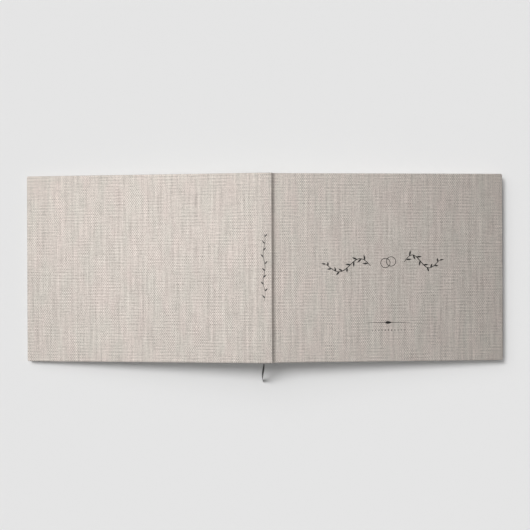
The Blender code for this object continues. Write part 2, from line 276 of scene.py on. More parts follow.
class Shade:
    """A Principled material with short calls for adding and wiring nodes."""

    def __init__(self, name, roughness, specular):
        self.material = bpy.data.materials.new(name)
        self.material.use_nodes = True
        self.tree = self.material.node_tree
        self.shader = self.tree.nodes["Principled BSDF"]
        self.shader.inputs["Roughness"].default_value = roughness
        self.shader.inputs["Specular IOR Level"].default_value = specular

    def add(self, kind, **settings):
        """A new node of this kind, with its settings."""
        node = self.tree.nodes.new("ShaderNode" + kind)
        for key, value in settings.items():
            setattr(node, key, value)
        return node

    def link(self, source, target):
        self.tree.links.new(source, target)

    def feed(self, socket, value):
        """Wires a node's output to a socket, or sets the socket to a number or colour."""
        if isinstance(value, bpy.types.NodeSocket):
            self.link(value, socket)
        else:
            socket.default_value = value

    def math(self, operation, a, b=0.0):
        """The result of a Math node."""
        node = self.add("Math", operation=operation)
        self.feed(node.inputs[0], a)
        self.feed(node.inputs[1], b)
        return node.outputs[0]

    def total(self, *values):
        out = values[0]
        for value in values[1:]:
            out = self.math("ADD", out, value)
        return out

    def product(self, *values):
        out = values[0]
        for value in values[1:]:
            out = self.math("MULTIPLY", out, value)
        return out

    def centred(self, value, amount=1.0):
        """A 0 to 1 value as plus or minus amount."""
        return self.product(self.math("SUBTRACT", value, 0.5), 2 * amount)

    def lifted(self, wave):
        """A wave from -1 to 1 as a value from 0 to 1."""
        return self.total(self.product(wave, 0.5), 0.5)

    def uv(self):
        """Places on the cloth, in metres."""
        return self.add("UVMap", uv_map="weave").outputs["UV"]

    def place(self):
        """Places in the piece, in metres."""
        return self.add("TexCoord").outputs["Object"]

    def scaled(self, vector, scale):
        """A vector multiplied along each axis."""
        node = self.add("Mapping")
        node.inputs["Scale"].default_value = scale
        self.link(vector, node.inputs["Vector"])
        return node.outputs["Vector"]

    def noise(self, vector, size, detail, roughness=0.5):
        """Noise from 0 to 1 whose grains have this size, in metres, along x, y and z."""
        node = self.add("TexNoise")
        node.inputs["Scale"].default_value = 1.0
        node.inputs["Detail"].default_value = detail
        node.inputs["Roughness"].default_value = roughness
        self.link(self.scaled(vector, [1 / s for s in size]), node.inputs["Vector"])
        return node.outputs["Fac"]

    def cloud(self, vector, size):
        """Three independent noises round 0, as a vector."""
        node = self.add("TexNoise")
        node.inputs["Scale"].default_value = 1.0
        self.link(self.scaled(vector, [1 / s for s in size]), node.inputs["Vector"])
        centre = self.add("VectorMath", operation="SUBTRACT")
        self.link(node.outputs["Color"], centre.inputs[0])
        centre.inputs[1].default_value = (0.5, 0.5, 0.5)
        return centre.outputs[0]

    def patches(self, vector, size):
        """0 to 1 in soft patches of this size."""
        node = self.add("MapRange", interpolation_type="SMOOTHSTEP")
        self.link(self.noise(vector, size, 1.0), node.inputs["Value"])
        node.inputs["From Min"].default_value = 0.38
        node.inputs["From Max"].default_value = 0.62
        return node.outputs["Result"]

    def wave(self, vector, axis, half_period):
        """A sine along one axis."""
        parts = self.add("SeparateXYZ")
        self.link(vector, parts.inputs[0])
        return self.math("SINE", self.product(parts.outputs[axis], math.pi / half_period))

    def weave(self, vector, pitch):
        """The height of a plain weave, 0 to 1: warp and weft yarns cross over and under each other."""
        return self.lifted(self.product(self.wave(vector, "X", pitch), self.wave(vector, "Y", pitch)))

    def ramp(self, value, stops):
        """A colour for each value, from stops of (value, colour)."""
        node = self.add("ValToRGB")
        while len(node.color_ramp.elements) < len(stops):
            node.color_ramp.elements.new(0.5)
        for element, (at, colour) in zip(node.color_ramp.elements, stops):
            element.position = at
            element.color = (*colour, 1)
        self.link(value, node.inputs["Fac"])
        return node.outputs["Color"]

    def shaded(self, colour, factor):
        """A colour multiplied by a factor near 1."""
        node = self.add("VectorMath", operation="SCALE")
        self.feed(node.inputs[0], colour)
        self.feed(node.inputs["Scale"], factor)
        return node.outputs[0]

    def colour(self, value):
        self.feed(self.shader.inputs["Base Color"], value)

    def bump(self, height, distance, strength=1.0):
        """Fine relief, this deep in metres where the height runs from 0 to 1."""
        node = self.add("Bump")
        node.inputs["Distance"].default_value = distance
        node.inputs["Strength"].default_value = strength
        self.link(height, node.inputs["Height"])
        self.link(node.outputs["Normal"], self.shader.inputs["Normal"])


# The linen's threads, and the coarser grid that its thicker yarns draw
THREAD_PITCH = 0.56 * MM
WARP_PITCH = 1.13 * MM  # between the thick yarns that run along the spine
WEFT_PITCH = 1.72 * MM
YARN_WANDER = 1.6 * MM  # how far the thick yarns may stray, from one side to the other
YARN_BENDS = (30.0 * MM, 12.0 * MM, 1)  # the size of their bends
ROWS_IN_TONE = 0.11
COLUMNS_IN_TONE = 0.03
CROSSINGS_IN_TONE = 0.32
CROSSINGS_IN_HEIGHT = 0.25
THREADS_IN_HEIGHT = 0.35
OPEN_ROWS = (20.0 * MM, 16.0 * MM, 1)  # patches where the rows show
OPEN_CROSSINGS = (14.0 * MM, 22.0 * MM, 1)
HUE_PATCHES = (16.0 * MM, 50.0 * MM, 1)
LINEN_GREYS = ((0.34, (0.606, 0.565, 0.513)), (0.66, (0.634, 0.561, 0.516)))
LINEN_RELIEF = 0.18 * MM

# The uneven yarns of the linen: the grain's size from spine to fore-edge and from head to tail in
# millimetres, the noise's detail and roughness, and how much it shows in the tone and in the height
YARN_NOISES = (
    ((1.1, 30.0), 3.0, 0.60, 0.34, 0.8),  # yarns along the spine
    ((4.0, 110.0), 2.0, 0.55, 0.16, 0.0),  # bands of those yarns
    ((22.0, 1.3), 3.0, 0.60, 0.24, 0.6),  # yarns across
    ((1.2, 1.9), 2.0, 0.60, 0.34, 0.6),  # slubs
    ((3.0, 1.0), 2.0, 0.60, 0.28, 0.0),  # slubs across
    ((50.0, 70.0), 2.0, 0.50, 0.04, 0.0),  # wide patches
)


def yarns_grid(s, uv):
    """The thick yarns' waves, which wander a little: rows, columns and their crossings."""
    wander = s.add("VectorMath", operation="MULTIPLY_ADD")
    s.feed(wander.inputs[0], s.cloud(uv, YARN_BENDS))
    wander.inputs[1].default_value = (YARN_WANDER, YARN_WANDER, 0)
    s.link(uv, wander.inputs[2])
    at = wander.outputs[0]
    rows = s.wave(at, "Y", WEFT_PITCH)
    return rows, s.wave(at, "X", 3 * WARP_PITCH), s.product(s.wave(at, "X", WARP_PITCH), rows)


def linen():
    """Book linen: slubby yarns, the long ones along the spine, in an uneven warm grey."""
    s = Shade("book_linen", roughness=0.92, specular=0.15)
    s.shader.inputs["Sheen Weight"].default_value = 0.12
    s.shader.inputs["Sheen Roughness"].default_value = 0.5
    uv = s.uv()
    rows, columns, crossings = yarns_grid(s, uv)
    tones = [
        s.product(rows, s.patches(uv, OPEN_ROWS), ROWS_IN_TONE),
        s.product(columns, COLUMNS_IN_TONE),
        s.product(crossings, s.patches(uv, OPEN_CROSSINGS), CROSSINGS_IN_TONE),
    ]
    heights = [
        s.product(s.weave(uv, THREAD_PITCH), THREADS_IN_HEIGHT),
        s.product(crossings, CROSSINGS_IN_HEIGHT),
    ]
    for grain, detail, roughness, in_tone, in_height in YARN_NOISES:
        size = (grain[0] * MM, grain[1] * MM, 1)
        uneven = s.centred(s.noise(uv, size, detail, roughness))
        tones.append(s.product(uneven, in_tone))
        if in_height:
            heights.append(s.product(uneven, in_height))
    hue = s.noise(uv, HUE_PATCHES, 3.0, 0.6)
    s.colour(s.shaded(s.ramp(hue, LINEN_GREYS), s.total(1.0, *tones)))
    s.bump(s.total(*heights), LINEN_RELIEF, 0.8)
    return s.material


def page_paper(name, colour, fibre=0.03):
    """Thick uncoated paper with a faint fibre."""
    s = Shade(name, roughness=0.85, specular=0.2)
    at = s.place()
    cloud = s.noise(at, (0.02, 0.02, 0.02), 3.0)
    grain = s.noise(at, (0.0012, 0.0005, 0.0005), 2.0)
    tone = s.total(1.0, s.centred(cloud, 0.03), s.centred(grain, fibre))
    darker = tuple(0.99 * c for c in colour)
    s.colour(s.shaded(s.ramp(cloud, ((0.3, colour), (0.7, darker))), tone))
    s.bump(grain, 0.00003, 0.6)
    return s.material


def grey_board():
    """Flecked grey board."""
    s = Shade("grey_board", roughness=0.95, specular=0.1)
    at = s.place()
    fleck = s.noise(at, (0.0012, 0.0012, 0.0004), 4.0, 0.7)
    s.colour(s.ramp(fleck, ((0.35, (0.22, 0.205, 0.18)), (0.65, (0.44, 0.42, 0.38)))))
    s.bump(fleck, 0.0001)
    return s.material


def kraft():
    """Brown kraft paper with long fibres."""
    s = Shade("kraft_paper", roughness=0.9, specular=0.15)
    at = s.place()
    fibre = s.noise(at, (0.004, 0.0006, 0.001), 4.0, 0.65)
    s.colour(s.ramp(fibre, ((0.35, (0.33, 0.22, 0.13)), (0.65, (0.46, 0.34, 0.21)))))
    s.bump(fibre, 0.00004)
    return s.material


def cotton(name, colour, pitch, dark):
    """A plain cotton weave, such as mull or tape, with this tone between its threads."""
    s = Shade(name, roughness=0.95, specular=0.1)
    at = s.place()
    cloth = s.weave(at, pitch)
    slub = s.noise(at, (0.006, 0.0009, 0.002), 3.0, 0.6)
    tone = s.total(dark, s.product(cloth, 1 - dark), s.centred(slub, 0.08))
    darker = tuple(0.95 * c for c in colour)
    s.colour(s.shaded(s.ramp(slub, ((0.3, colour), (0.7, darker))), tone))
    s.bump(cloth, 0.0001)
    return s.material


def thread_bands():
    """Headband silk: dark grey and cream windings along x."""
    s = Shade("headband_silk", roughness=0.55, specular=0.4)
    at = s.place()
    fibre = s.noise(at, (0.0002, 0.002, 0.002), 2.0)
    windings = s.lifted(s.wave(at, "X", 0.75 * MM))
    stripe = s.ramp(windings, ((0.45, (0.17, 0.15, 0.13)), (0.55, (0.74, 0.70, 0.62))))
    s.colour(s.shaded(stripe, s.total(1.0, s.centred(fibre, 0.1))))
    s.bump(fibre, 0.00005)
    return s.material


def waxed_thread():
    """Pale linen thread, twisted and waxed."""
    s = Shade("waxed_thread", roughness=0.6, specular=0.35)
    twist = s.noise(s.place(), (0.0004, 0.0004, 0.0004), 2.0)
    s.colour(s.ramp(twist, ((0.35, (0.60, 0.54, 0.44)), (0.65, (0.80, 0.75, 0.66)))))
    s.bump(twist, 0.00006)
    return s.material


def satin():
    """Black satin ribbon, finely ribbed across."""
    s = Shade("black_satin", roughness=0.5, specular=0.35)
    s.shader.inputs["Sheen Weight"].default_value = 0.05
    uv = s.uv()
    ribs = s.wave(uv, "Y", 0.22 * MM)
    fibre = s.noise(uv, (0.00012, 0.004, 1), 3.0, 0.6)
    s.colour(s.ramp(fibre, ((0.3, (0.006, 0.006, 0.007)), (0.7, (0.022, 0.021, 0.022)))))
    s.bump(s.total(s.product(ribs, 0.3), fibre), 0.00005)
    return s.material


def foil():
    """Black foil pressed into the cloth, broken a little by the weave."""
    s = Shade("black_foil", roughness=0.5, specular=0.4)
    uv = s.uv()
    wear = s.noise(uv, (0.0005, 0.0012, 1), 3.0, 0.7)
    s.colour(s.ramp(wear, ((0.42, (0.020, 0.019, 0.018)), (0.80, (0.085, 0.078, 0.070)))))
    s.bump(s.total(s.weave(uv, 0.00062), wear), 0.0001, 0.7)
    return s.material


def table_top():
    """Plain, pale and matt."""
    s = Shade("pale_table", roughness=0.9, specular=0.0)
    cloud = s.noise(s.place(), (0.4, 0.4, 0.4), 2.0)
    s.colour(s.ramp(cloud, ((0.3, (0.80, 0.80, 0.80)), (0.7, (0.802, 0.802, 0.802)))))
    return s.material


# ---------------------------------------------------------------- meshes


def mesh_object(name, bm, material, smooth_angle=40.0):
    """An object in the scene from a finished mesh, with edges sharp above this angle."""
    bmesh.ops.remove_doubles(bm, verts=bm.verts, dist=WELD)
    mesh = bpy.data.meshes.new(name)
    bm.to_mesh(mesh)
    bm.free()
    mesh.materials.append(material)
    mesh.shade_smooth()
    mesh.set_sharp_from_angle(angle=math.radians(smooth_angle))
    piece = bpy.data.objects.new(name, mesh)
    bpy.context.scene.collection.objects.link(piece)
    return piece


def quad(bm, layer, corners, marks):
    """A face with its weave coordinates, in metres."""
    face = bm.faces.new(corners)
    for loop, mark in zip(face.loops, marks):
        loop[layer].uv = mark


def sheet_mesh(points, marks):
    """Faces between rows of points with their weave coordinates: the mesh, its layer, its grid."""
    bm = bmesh.new()
    layer = bm.loops.layers.uv.new("weave")
    verts = [[bm.verts.new(p) for p in row] for row in points]
    for i in range(len(points) - 1):
        for j in range(len(points[0]) - 1):
            at = ((i, j), (i + 1, j), (i + 1, j + 1), (i, j + 1))
            quad(bm, layer, [verts[a][b] for a, b in at], [marks[a][b] for a, b in at])
    return bm, layer, verts


def face_up(bm, up):
    """Turns all faces over if most of their area points away from up."""
    bm.normal_update()
    total = sum((f.normal * f.calc_area() for f in bm.faces), Vector())
    if total.dot(up) < 0:
        bmesh.ops.reverse_faces(bm, faces=bm.faces)


def thicken(piece, thickness):
    """Gives a surface its thickness, inwards, and keeps the shading of its flat faces flat."""
    shell = piece.modifiers.new("thickness", "SOLIDIFY")
    shell.thickness = thickness
    shell.offset = -1
    flat = piece.modifiers.new("flat_faces", "WEIGHTED_NORMAL")
    flat.keep_sharp = True


def curve_through(points, count):
    """Points read evenly from a Catmull-Rom curve through the given vectors."""
    padded = [2 * points[0] - points[1], *points, 2 * points[-1] - points[-2]]
    last = len(points) - 1
    out = []
    for i in range(count):
        at = last * i / (count - 1)
        k = min(int(at), last - 1)
        t = at - k
        a, b, c, d = padded[k : k + 4]
        squared = 2 * a - 5 * b + 4 * c - d
        cubed = 3 * b - a - 3 * c + d
        out.append((2 * b + (c - a) * t + squared * t**2 + cubed * t**3) / 2)
    return out


def rim(depth):
    """The cloth's path round an edge to its hem: (distance in from the edge, depth)."""
    radius = min(EDGE_RADIUS, depth / 2)
    quarter = [math.pi / 2 * i / ARC_STEPS for i in range(ARC_STEPS + 1)]
    upper = [(radius * (1 - math.sin(a)), radius * (1 - math.cos(a))) for a in quarter]
    lower = [(inset, depth - d) for inset, d in reversed(upper)]
    return [*upper, *lower, (TURN_IN, depth)]


def lengths(points):
    """Running length along a list of 2-D points."""
    out = [0.0]
    for a, b in zip(points, points[1:]):
        out.append(out[-1] + math.hypot(b[0] - a[0], b[1] - a[1]))
    return out


def across_profile(depth):
    """The cloth's path from its turned-in head to its turned-in tail: (y, depth, weave y)."""
    edge = rim(depth)
    run = lengths(edge)
    flat = COVER_HALF - edge[0][0]
    head = [(COVER_HALF - inset, d, flat + s) for (inset, d), s in zip(edge, run)]
    middle = [flat * (1 - 2 * i / FLAT_STEPS) for i in range(1, FLAT_STEPS)]
    tail = [(-y, d, -v) for y, d, v in head]
    return [*reversed(head), *[(y, 0.0, y) for y in middle], *tail]


# ---------------------------------------------------------------- the cloth


def cloth_strip(name, half, stations, start, shade):
    """Cloth over a run of stations, wrapped at head and tail, and where its weave ends.

    A station is (point, the direction up through the cloth's edge, depth of that edge)."""
    run = [start + s for s in lengths([point for point, _, _ in stations])]
    rows, marks = [], []
    for (point, up, depth), along in zip(stations, run):
        profile = across_profile(depth)
        rows.append([half.place(point - up * d, y) for y, d, _ in profile])
        marks.append([(half.side * along, v) for _, _, v in profile])
    bm, _, _ = sheet_mesh(rows, marks)
    face_up(bm, Vector((0, 0, 1)))
    piece = mesh_object(name, bm, shade, 60)
    thicken(piece, CLOTH)
    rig.slot(piece, "linen_cloth")
    return piece, run[-1]


def spine_cloth(shade):
    """The flat cloth over the spine, up to the grooves."""
    across = [SPINE_SEAM * (2 * i / SPINE_STEPS - 1) for i in range(SPINE_STEPS + 1)]
    stations = [(Vector((u, 0)), UPRIGHT, SPINE_DEPTH) for u in across]
    piece, _ = cloth_strip("spine_linen", FRONT, stations, -SPINE_SEAM, shade)
    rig.replaces(piece, "spine_cloth")
    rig.ride(piece, "spine")


# The groove beside the spine, in millimetres of (u, w), from the spine's flat to the bottom of
# the groove, and from there up to the board's edge
GROOVES = {
    "front": (
        (
            (7.0, 0.0), (7.8, 0.0), (8.35, -0.22), (8.8, -0.9),
            (9.5, -2.3), (10.3, -3.75), (11.2, -4.85), (12.6, -5.6),
        ),
        ((12.6, -5.6), (13.5, -5.85), (14.3, -5.98), (14.9, -6.02)),
    ),
    "back": (
        (
            (7.0, 0.0), (7.8, 0.0), (8.6, -0.18), (9.5, -0.70),
            (10.8, -1.32), (12.1, -1.72), (13.2, -1.92),
        ),
        ((13.2, -1.92), (14.4, -2.10), (15.6, -2.20), (16.5, -2.06)),
    ),
}


def eased(share):
    """A share from 0 to 1 that starts and ends gently, as the tools' own blend does."""
    return share * share * (3 - 2 * share)


def groove_cloth(half, shade):
    """The two bending strips between the spine and a cover, and where their weave ends."""
    falling, rising = [[Vector(p) * MM for p in run] for run in GROOVES[half.name]]
    rising += [half.corner + half.along * a for a in (*EASED_EDGE, SEAM)]
    count = GROOVE_STEPS + 1
    shares = [eased(i / GROOVE_STEPS) for i in range(count)]
    down = [
        (point, UPRIGHT, SPINE_DEPTH + (JOINT_DEPTH - SPINE_DEPTH) * share)
        for point, share in zip(curve_through(falling, count), shares)
    ]
    up = [
        (point, UPRIGHT.lerp(half.normal, share), JOINT_DEPTH + (COVER_DEPTH - JOINT_DEPTH) * share)
        for point, share in zip(curve_through(rising, count), shares)
    ]
    bottom = falling[-1]
    edge = half.corner
    upper, end = cloth_strip(f"{half.name}_groove_linen", half, down, SPINE_SEAM, shade)
    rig.blend(
        upper, "spine", f"{half.name}_joint",
        half.place(Vector((falling[1].x, 0))), half.place(Vector((falling[-2].x, 0))),
    )
    lower, end = cloth_strip(f"{half.name}_hinge_linen", half, up, end, shade)
    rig.replaces(lower, f"{half.name}_joint_cloth")
    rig.blend(
        lower, f"{half.name}_joint", f"{half.name}_cover",
        half.place(Vector((bottom.x + 0.2 * MM, edge.y))), half.place(edge),
    )
    return end


def cover_outline(inset):
    """The cover's U-shaped edge from the head side of its seam round to the tail side.

    Each entry is (along, y) at this inset, and the outward direction there."""
    radius = CORNER_RADIUS - inset
    centre = (CLOTH_END - CORNER_RADIUS, COVER_HALF - CORNER_RADIUS)
    out = [((SEAM, COVER_HALF - inset), (0.0, 1.0))]
    for i in range(2 * ARC_STEPS + 1):
        a = math.pi / 2 * (1 - i / (2 * ARC_STEPS))
        way = (math.cos(a), math.sin(a))
        out.append(((centre[0] + radius * way[0], centre[1] + radius * way[1]), way))
    return out + [((x, -y), (dx, -dy)) for (x, y), (dx, dy) in reversed(out)]


def cover_cloth(half, start, shade):
    """The cloth of one cover: flat on top, rounded over three edges and turned in below."""
    edge = rim(COVER_DEPTH)
    run = lengths(edge)
    radius = edge[0][0]
    hem_x = CLOTH_END - TURN_IN
    hem_y = COVER_HALF - TURN_IN
    rows, marks = [], []
    for (x, y), (dx, dy) in cover_outline(radius):
        row, mark = [], []
        for (inset, depth), s in zip(edge, run):
            if inset == TURN_IN:
                at = (min(x, hem_x), max(-hem_y, min(y, hem_y)))
            else:
                at = (x + dx * (radius - inset), y + dy * (radius - inset))
            row.append(half.on_cover(*at, depth))
            mark.append((half.side * (start - SEAM + x + dx * s), y + dy * s))
        rows.append(row)
        marks.append(mark)
    bm, layer, grid = sheet_mesh(rows, marks)
    quad(bm, layer, [row[0] for row in grid], [mark[0] for mark in marks])
    bmesh.ops.recalc_face_normals(bm, faces=bm.faces)
    face_up(bm, Vector((0, 0, 1)))
    piece = mesh_object(f"{half.name}_cover_linen", bm, shade, 50)
    thicken(piece, CLOTH)
    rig.slot(piece, "linen_cloth")
    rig.replaces(piece, f"{half.name}_cover_cloth")
    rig.ride(piece, f"{half.name}_cover")


# ---------------------------------------------------------------- the pages


def add_sheet(bm, path, thickness, low, high):
    """A thin closed sheet of paper along a path of frame points in the (x, z) plane."""
    sides = []
    for i, point in enumerate(path):
        ahead = path[min(i + 1, len(path) - 1)] - path[max(i - 1, 0)]
        normal = Vector((-ahead.z, 0, ahead.x)).normalized() * thickness / 2
        sides.append((point + normal, point - normal))
    rings = []
    for upper, lower in sides:
        corners = ((upper, low), (upper, high), (lower, high), (lower, low))
        rings.append([bm.verts.new((p.x, y, p.z)) for p, y in corners])
    for a, b in zip(rings, rings[1:]):
        for j in range(4):
            k = (j + 1) % 4
            bm.faces.new((a[j], b[j], b[k], a[k]))
    bm.faces.new(rings[0])
    bm.faces.new(rings[-1][::-1])


def bent_root(half, closed):
    """The open places of a leaf's root, from its places in the closed book.

    The blend turns each point by the share that its open place has along ROOT_BEND, so a place is
    right where both shares agree. The share never falls from one point to the next."""
    start, end = ROOT_BEND
    run = end - start
    turn = 0
    path = []
    for point in closed:
        for turn in range(turn, TURN_STEPS + 1):
            place = half.opened(point, turn / TURN_STEPS)
            share = (place - start).dot(run) / run.length_squared
            if eased(min(1, max(0, share))) <= turn / TURN_STEPS:
                break
        path.append(half.place(place))
    return path


def leaves(half, shade):
    """Every leaf of one half: its flat part swings with the pages, its root bends in the gutter."""
    rng = random.Random(f"{half.name} leaves")
    flat, roots = bmesh.new(), bmesh.new()
    count = LEAVES[half.name] + 1
    inner = GUTTER[half.name] + LEAF / 2
    pitch = (STACK_OUTER - LEAF / 2 - inner) / (count - 1)
    for i in range(count):
        share = i / (count - 1)
        tilt = FAN[half.name] * share
        base = Vector((inner + i * pitch, LEAF_START / 2))
        way = Vector((math.sin(tilt), -math.cos(tilt)))
        near = base + way * (abs(LEAF_START) / 2)
        far = base + way * (LEAF_START / 2 - PAGES_END - rng.uniform(0, FORE_EDGE_PLAY))
        trim = PAGE_HALF - rng.uniform(0, HEAD_PLAY)
        ends = [half.place(half.opened(p)) for p in (near, near.lerp(far, 0.5), far)]
        add_sheet(flat, ends, LEAF, -trim, trim)
        fold = Vector((base.x, FOLD_BASE))
        closed = [fold.lerp(near, j / ROOT_STEPS) for j in range(ROOT_STEPS + 1)]
        add_sheet(roots, bent_root(half, closed), LEAF, -trim, trim)
    for bm in (flat, roots):
        bmesh.ops.recalc_face_normals(bm, faces=bm.faces)
    stack = mesh_object(f"{half.name}_leaves", flat, shade, 30)
    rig.slot(stack, "page_paper")
    sections = [n for n in frame["nodes"] if n.startswith(f"{half.name}_section_")]
    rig.replaces(stack, *sections, f"{half.name}_flyleaf")
    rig.ride(stack, f"{half.name}_pages")
    bend = mesh_object(f"{half.name}_leaf_roots", roots, shade, 30)
    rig.slot(bend, "page_paper")
    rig.blend(bend, "spine", f"{half.name}_pages", *[half.place(p) for p in ROOT_BEND])


# ---------------------------------------------------------------- headbands and ribbon

WINDINGS = 12
WINDING_STEPS = 6
WINDING_SWELL = 0.14  # of the radius
AROUND_STEPS = 16


def circle(x, y, radius, steps):
    """Points evenly round a circle."""
    turns = [2 * math.pi * i / steps for i in range(steps)]
    return [(x + radius * math.cos(a), y + radius * math.sin(a)) for a in turns]


def end_band(node, shade):
    """A headband: a round core wound with thread, so that its radius swells at each winding."""
    low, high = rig.box(node)
    centre = (low + high) / 2
    core = (high.y - low.y) / 2
    steps = WINDINGS * WINDING_STEPS
    bm = bmesh.new()
    layer = bm.loops.layers.uv.new("weave")
    rings = []
    for i in range(steps + 1):
        x = low.x + (high.x - low.x) * i / steps
        swell = WINDING_SWELL * abs(math.sin(math.pi * i / WINDING_STEPS))
        radius = core * (1 - WINDING_SWELL + swell)
        ring = circle(centre.y, centre.z, radius, AROUND_STEPS)
        rings.append([bm.verts.new((x, *at)) for at in ring])
    for a, b in zip(rings, rings[1:]):
        for j in range(AROUND_STEPS):
            k = (j + 1) % AROUND_STEPS
            at = (a[j], a[k], b[k], b[j])
            quad(bm, layer, at, [(v.co.x, v.co.y) for v in at])
    bm.faces.new(rings[0])
    bm.faces.new(rings[-1])
    bmesh.ops.recalc_face_normals(bm, faces=bm.faces)
    piece = mesh_object(f"{node}_windings", bm, shade, 60)
    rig.slot(piece, "linen_thread")
    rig.replaces(piece, node)
    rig.ride(piece, "spine")


RIBBON_WIDTH = 3.0 * MM
RIBBON = 0.28 * MM
HELD_STEPS = 160
TAIL_STEPS = 60

# Half of the ribbon's cross-section, as shares of its half width and half thickness
RIBBON_SIDE = ((-1, 0.35), (-0.94, 1), (-0.5, 0.8), (0, 0.75), (0.5, 0.8), (0.94, 1), (1, 0.35))

# The ribbon's routes as (x, y, z) in millimetres from the middle of the spine's outer face, and how
# far it is turned about its route at each point. A turn of 0 lays it flat.
U = -0.53  # the middle of the gutter
HELD_ROUTE = (
    (U, 104.2, -3.9), (U, 104.2, -6.2), (U, 103.6, -8.6), (U, 100.0, -10.2),
    (U, 92.0, -10.4), (U, 40.0, -10.4), (U, -40.0, -10.4), (U, -105.8, -10.4),
)
HELD_TWISTS = (0.0, 0.2, 0.9, 1.45, math.pi / 2, math.pi / 2, math.pi / 2, math.pi / 2)
TAIL_ROUTE = (
    (U, -106.1, -10.4), (-0.8, -109.0, -10.8), (-1.4, -113.5, -13.2), (-2.2, -118.3, -18.6),
    (-2.6, -122.5, -25.6), (-2.6, -125.9, -32.6), (-2.3, -129.0, -38.0),
)
TAIL_TWISTS = (math.pi / 2, 1.15, 0.95, 1.0, 1.15, 1.3, 1.4)


def ribbon_mesh(name, route, twists, count, shade):
    """A satin ribbon along a route, the points that it follows, and its length."""
    origin = Vector((SPINE_X, 0, SPINE_TOP))
    path = curve_through([origin + Vector(p) * MM for p in route], count)
    turns = curve_through([Vector((t, 0, 0)) for t in twists], count)
    shape = [*RIBBON_SIDE, *[(a, -b) for a, b in reversed(RIBBON_SIDE)]]
    bm = bmesh.new()
    layer = bm.loops.layers.uv.new("weave")
    rings, runs = [], []
    run = 0.0
    for i in range(count):
        along = (path[min(i + 1, count - 1)] - path[max(i - 1, 0)]).normalized()
        sideways = Vector((1, 0, 0))
        level = (sideways - along * sideways.dot(along)).normalized()
        wide = Matrix.Rotation(turns[i].x, 3, along) @ level
        thick = along.cross(wide)
        ring = [path[i] + wide * a * RIBBON_WIDTH / 2 + thick * b * RIBBON / 2 for a, b in shape]
        rings.append([bm.verts.new(p) for p in ring])
        if i:
            run += (path[i] - path[i - 1]).length
        runs.append(run)
    sides = len(shape)
    for i in range(count - 1):
        for j in range(sides):
            k = (j + 1) % sides
            at = (rings[i][j], rings[i][k], rings[i + 1][k], rings[i + 1][j])
            across = [shape[n][0] * RIBBON_WIDTH / 2 for n in (j, k, k, j)]
            quad(bm, layer, at, list(zip(across, (runs[i], runs[i], runs[i + 1], runs[i + 1]))))
    bm.faces.new(rings[0])
    bm.faces.new(rings[-1])
    bmesh.ops.recalc_face_normals(bm, faces=bm.faces)
    piece = mesh_object(name, bm, shade, 50)
    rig.slot(piece, "black_ribbon")
    return piece, path, run


def ribbons(shade):
    """The ribbon in the gutter, and its free end over the tail of the spine."""
    held, _, _ = ribbon_mesh("ribbon_in_gutter", HELD_ROUTE, HELD_TWISTS, HELD_STEPS, shade)
    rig.replaces(held, "ribbon")
    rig.ride(held, "spine")
    tail, path, length = ribbon_mesh("ribbon_end", TAIL_ROUTE, TAIL_TWISTS, TAIL_STEPS, shade)
    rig.replaces(tail, "ribbon_tail")
    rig.ride(tail, "spine")
    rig.cord(
        tail, exit=path[0], length=length, diameter=RIBBON_WIDTH, far_end="bare",
        stiffness="limp", lay="hanging", path=path,
    )


# ---------------------------------------------------------------- the pressed ornament

ORNAMENT_X = 139.0 * MM
ORNAMENT_Y = 5.0 * MM  # of the first ring's middle
RING_RADIUS = 5.6 * MM
RING_LINE = 0.7 * MM
RING_SHIFT = 3.2 * MM  # of each ring from the ornament's middle
RING_RISE = 1.6 * MM
RULE_Y = -61.5 * MM
RULE_LENGTH = 52.0 * MM
RULE_LINE = 0.55 * MM
LOZENGE = (8.0 * MM, 3.0 * MM)
DOTS_EACH_WAY = 5
DOT_PITCH = 3.6 * MM
DOTS_Y = -70.0 * MM
DOT_RADIUS = 0.75 * MM
DOT_SHRINK = 0.05 * MM

# The sprigs: where each starts from the ornament's middle and its length, in millimetres, which way
# it grows, and its number of leaves
SPRIGS = (((-20.0, -3.0), 50.0, -1, 12), ((18.0, 1.0), 40.0, 1, 10))
SPRIG_STEPS = 40
SPRIG_RISE = 8.5 * MM
SPRIG_LINE = 0.95 * MM
SPRIG_LEAF = (7.0 * MM, 1.9 * MM)
SPRIG_LEAF_SHRINK = 2.6 * MM
SPRIG_TIP = (5.0 * MM, 1.7 * MM)

VINE_LOW = -37.0 * MM
VINE_HIGH = 38.0 * MM
VINE_STEPS = 80
VINE_SWAY = 1.1 * MM
VINE_WAVES = 2.5
VINE_LINE = 0.6 * MM
VINE_LEAVES = 10
VINE_LEAF = (4.6 * MM, 1.5 * MM)

RING_STEPS = 48
DOT_STEPS = 12
RULE_STEPS = 20
FOIL_LEAF_STEPS = 8


